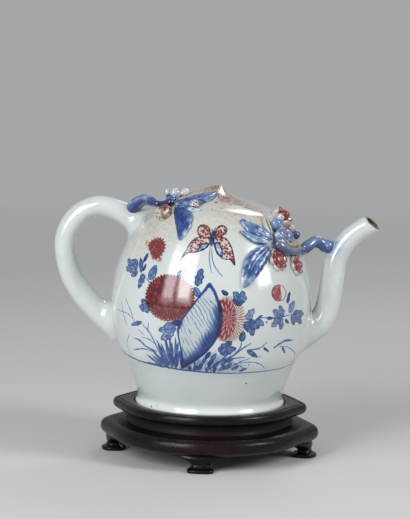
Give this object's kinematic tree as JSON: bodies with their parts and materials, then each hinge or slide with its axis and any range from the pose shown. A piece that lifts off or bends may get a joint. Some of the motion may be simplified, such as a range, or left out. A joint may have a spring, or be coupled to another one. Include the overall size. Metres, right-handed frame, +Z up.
{
  "type": "peach-shaped teapot",
  "caption": "Peach-shaped porcelain pot with loop handle and bent spout, filled through its base, painted and set with leafy sprays, on a fitted wooden stand.",
  "frame": {"origin": "on the table, under the middle of the object's box", "axes": "+X from the handle to the spout, +Y to the back, +Z up; the decorated front faces -Y"},
  "size_m": [0.203, 0.126, 0.1688],
  "materials": {
    "glaze": "glossy pale blue-grey glaze",
    "cobalt": "glossy cobalt blue under clear glaze",
    "dark_cobalt": "glossy dark cobalt under clear glaze",
    "copper_red": "glossy copper red under clear glaze",
    "biscuit": "unglazed fired body, matt",
    "hardwood": "dark stained and polished hardwood"
  },
  "bodies": {
    "stand": {"stand_tray": "hardwood", "stand_waist": "hardwood", "stand_apron": "hardwood", "stand_foot_right": "hardwood", "stand_foot_back": "hardwood", "stand_foot_left": "hardwood", "stand_foot_front": "hardwood"},
    "teapot": {"body_lower": "glaze", "body_upper": "glaze", "filling_tube": "biscuit", "handle": "glaze", "spout": "glaze", "twig_left": "dark_cobalt", "twig_left_back": "dark_cobalt", "branch_right": "cobalt", "branch_right_back": "cobalt", "leaf_left_upper": "cobalt", "leaf_left_hanging": "cobalt", "leaf_left_thin": "cobalt", "leaf_right_upper": "cobalt", "leaf_right_lower": "cobalt", "leaf_right_hanging": "cobalt", "leaf_right_cream": "glaze", "leaf_right_short": "glaze", "leaf_left_upper_back": "cobalt", "leaf_left_hanging_back": "cobalt", "leaf_right_upper_back": "cobalt", "leaf_right_hanging_back": "cobalt", "bud_left_red": "copper_red", "bud_left_white": "glaze", "bud_left_pink": "copper_red", "bud_left_small": "copper_red", "knob_left": "dark_cobalt", "bud_right_blue": "cobalt", "bud_right_white": "glaze", "flower_right_top": "copper_red", "knob_right": "cobalt", "knob_right_upper": "copper_red", "flower_right_low": "copper_red", "flower_right_side": "copper_red", "bud_left_back": "copper_red", "bud_right_back": "cobalt", "flower_right_back": "copper_red"}
  },
  "joints": [
    {"name": "lift_off", "type": "slide", "parent": "stand", "child": "teapot", "axis": [0, 0, 1], "range_m": [0, 0.04]}
  ]
}
